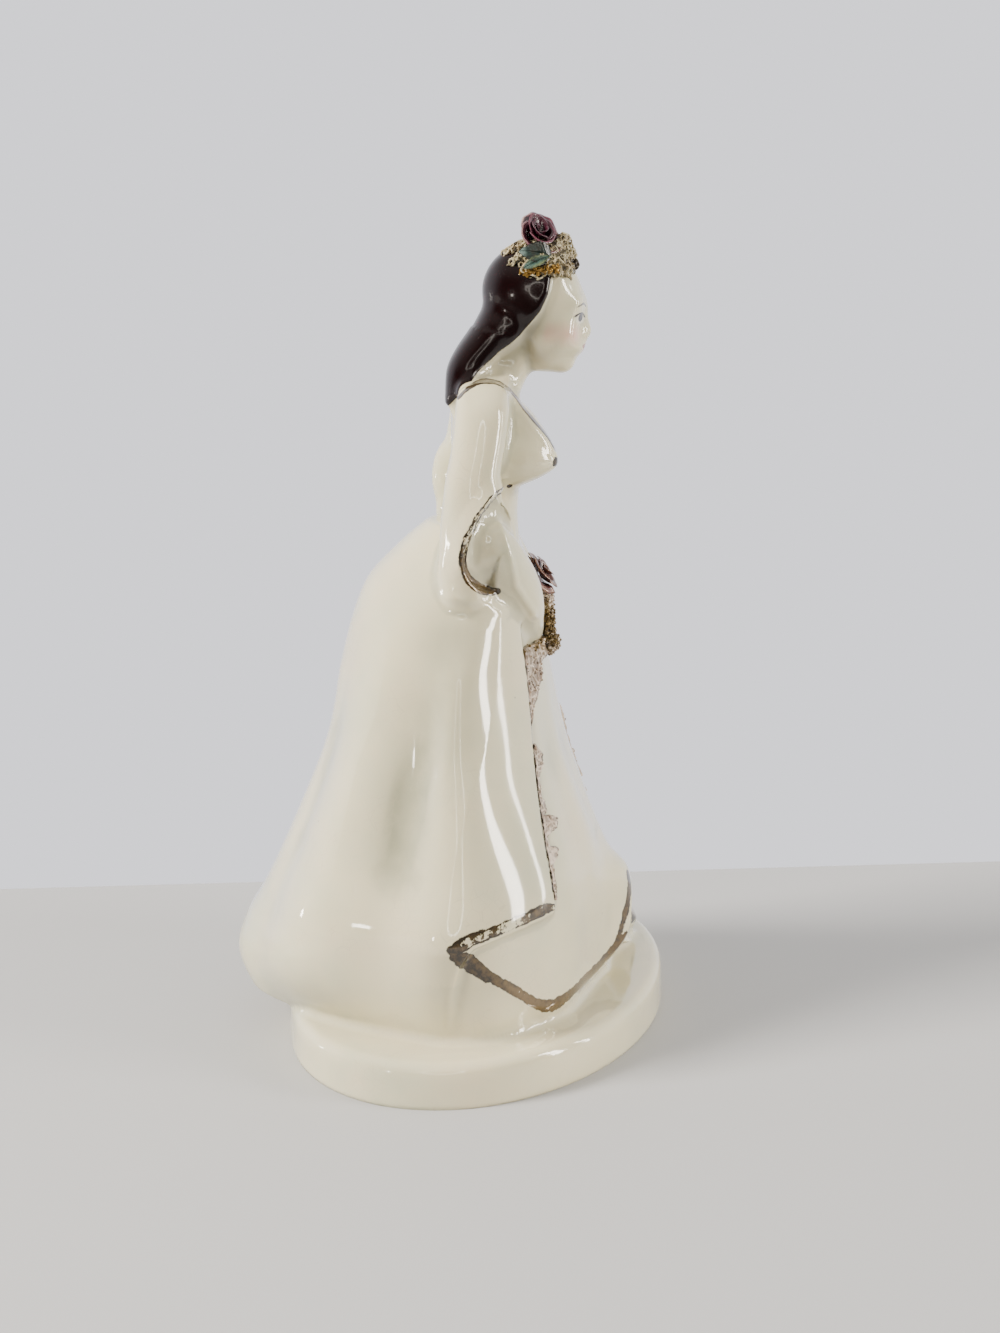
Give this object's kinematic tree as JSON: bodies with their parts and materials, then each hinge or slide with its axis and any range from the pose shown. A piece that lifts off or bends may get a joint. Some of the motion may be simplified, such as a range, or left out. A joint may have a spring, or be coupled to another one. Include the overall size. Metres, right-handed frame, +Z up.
{
  "type": "pottery lady figurine",
  "caption": "Glazed pottery lady in a bustled evening gown with a train, holding a posy with lace, on an oval base; stands by its own weight.",
  "frame": {"origin": "centre of the oval base's flat underside", "axes": "+Z up; the lady faces -Y and her right side is towards -X; the base's long axis lies 22 degrees from X"},
  "size_m": [0.1462, 0.1271, 0.2303],
  "materials": {
    "ivory_glaze": "glossy ivory glaze, finely crackled; hair painted dark brown, edges in worn gold",
    "dipped_lace": "slip-dipped cotton lace, fired hard, rough cream with gold-brown threads",
    "mauve_rose": "glossy dark mauve glaze with pale petal rims",
    "leaf_green": "glossy grey-green glaze",
    "gilt_rose": "brown-mauve glaze with gold lustre on the petal rims",
    "gilt_lace": "slip-dipped net lace with a rough gold-brown ruffle"
  },
  "bodies": {
    "root": {"figure": "ivory_glaze", "hair_lace": "dipped_lace", "hair_rose": "mauve_rose", "hair_leaf_dark": "leaf_green", "hair_leaf_pale": "leaf_green", "posy_rose": "gilt_rose", "posy_lace": "gilt_lace", "skirt_lace_right": "dipped_lace", "skirt_lace_left": "dipped_lace"}
  },
  "joints": []
}
